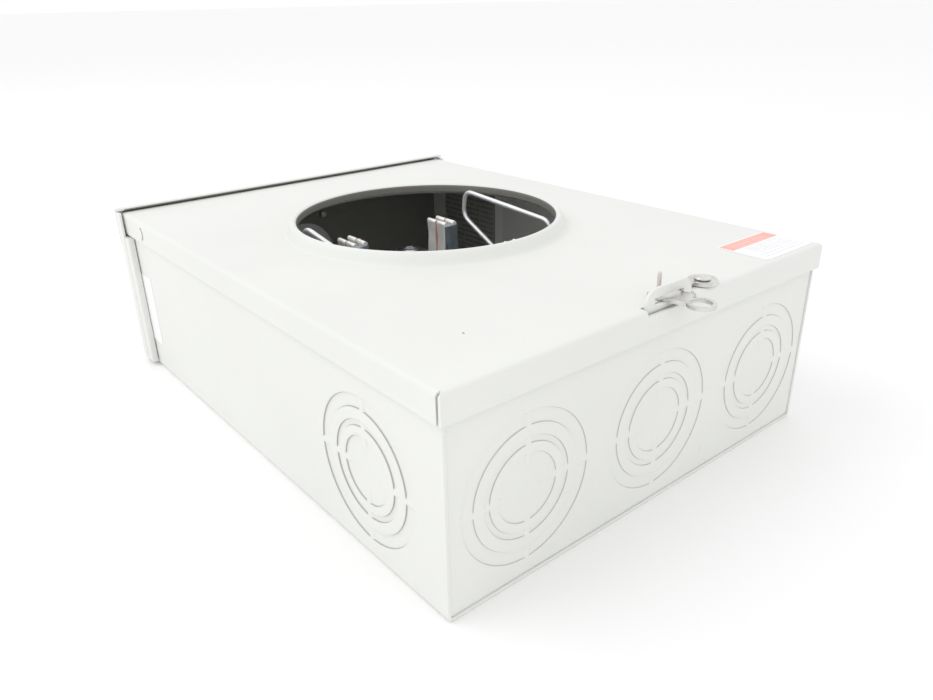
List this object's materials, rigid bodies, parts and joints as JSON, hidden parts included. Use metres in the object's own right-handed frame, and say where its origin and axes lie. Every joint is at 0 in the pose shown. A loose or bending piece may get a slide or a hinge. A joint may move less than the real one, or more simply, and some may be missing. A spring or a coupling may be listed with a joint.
{
  "type": "meter socket enclosure",
  "caption": "Wall-mounted steel meter socket: ring-type cover with raised round opening, side latch for a seal, sprung jaws, wire lugs, knockouts and a hub plate.",
  "frame": {"origin": "centre of the enclosure's back, on the wall it is fastened to", "axes": "+Z out of the wall through the meter opening, +Y up the wall toward the hub, +X to the right of someone facing the cover"},
  "size_m": [0.2854, 0.3922, 0.1258],
  "materials": {
    "paint": "light grey powder coat, satin",
    "zinc": "bright zinc plate",
    "spring_steel": "blued spring steel",
    "tinned_copper": "copper with a satin tin plate",
    "aluminium": "extruded, clear",
    "phenolic": "moulded phenolic, black",
    "label_white": "printed vinyl label"
  },
  "bodies": {
    "enclosure": {"back_pan": "paint", "bottom_end_wall": "paint", "top_end_cap": "paint", "hub_closing_plate": "paint", "hub_screw_1": "zinc", "hub_screw_2": "zinc", "hub_screw_3": "zinc", "hub_screw_4": "zinc", "side_label": "label_white", "wiring_label": "label_white", "socket_bracket": "zinc", "socket_block_left": "phenolic", "jaw_line_left": "tinned_copper", "jaw_clip_line_left": "spring_steel", "jaw_bolt_line_left": "zinc", "lug_line_left": "aluminium", "block_screw_line_left": "zinc", "jaw_load_left": "tinned_copper", "jaw_clip_load_left": "spring_steel", "jaw_bolt_load_left": "zinc", "lug_load_left": "aluminium", "block_screw_load_left": "zinc", "meter_support_left": "zinc", "support_clamp_left": "zinc", "socket_block_right": "phenolic", "jaw_line_right": "tinned_copper", "jaw_clip_line_right": "spring_steel", "jaw_bolt_line_right": "zinc", "lug_line_right": "aluminium", "block_screw_line_right": "zinc", "jaw_load_right": "tinned_copper", "jaw_clip_load_right": "spring_steel", "jaw_bolt_load_right": "zinc", "lug_load_right": "aluminium", "block_screw_load_right": "zinc", "meter_support_right": "zinc", "support_clamp_right": "zinc", "neutral_bar": "aluminium", "neutral_bonding_screw": "zinc", "ground_lug": "aluminium", "ground_fixing_screw": "zinc"},
    "cover": {"cover": "paint", "cover_label": "label_white", "latch_rivet": "zinc"},
    "latch": {"latch": "zinc", "latch_thumb_pin": "zinc"},
    "lug_screw_line_left": {"lug_screw_line_left": "aluminium"},
    "lug_screw_load_left": {"lug_screw_load_left": "aluminium"},
    "lug_screw_line_right": {"lug_screw_line_right": "aluminium"},
    "lug_screw_load_right": {"lug_screw_load_right": "aluminium"},
    "neutral_screw_line": {"neutral_screw_line": "aluminium"},
    "neutral_screw_load": {"neutral_screw_load": "aluminium"},
    "ground_screw": {"ground_screw": "aluminium"}
  },
  "joints": [
    {"name": "cover_swing", "type": "hinge", "parent": "enclosure", "child": "cover", "pos_m": [0, 0.18727, 0.112], "axis": [-1, 0, 0], "range_deg": [0, 30]},
    {"name": "latch_swing", "type": "hinge", "parent": "cover", "child": "latch", "pos_m": [0.0317, -0.16973, 0.1144], "axis": [0, 0, -1], "range_deg": [0, 55]},
    {"name": "lug_screw_line_left_travel", "type": "slide", "parent": "enclosure", "child": "lug_screw_line_left", "axis": [0, 0, 1], "range_m": [-0.006, 0.004]},
    {"name": "lug_screw_load_left_travel", "type": "slide", "parent": "enclosure", "child": "lug_screw_load_left", "axis": [0, 0, 1], "range_m": [-0.006, 0.004]},
    {"name": "lug_screw_line_right_travel", "type": "slide", "parent": "enclosure", "child": "lug_screw_line_right", "axis": [0, 0, 1], "range_m": [-0.006, 0.004]},
    {"name": "lug_screw_load_right_travel", "type": "slide", "parent": "enclosure", "child": "lug_screw_load_right", "axis": [0, 0, 1], "range_m": [-0.006, 0.004]},
    {"name": "neutral_screw_line_travel", "type": "slide", "parent": "enclosure", "child": "neutral_screw_line", "axis": [0, 0, 1], "range_m": [-0.008, 0.004]},
    {"name": "neutral_screw_load_travel", "type": "slide", "parent": "enclosure", "child": "neutral_screw_load", "axis": [0, 0, 1], "range_m": [-0.008, 0.004]},
    {"name": "ground_screw_travel", "type": "slide", "parent": "enclosure", "child": "ground_screw", "axis": [0, 0, 1], "range_m": [-0.004, 0.003]}
  ]
}
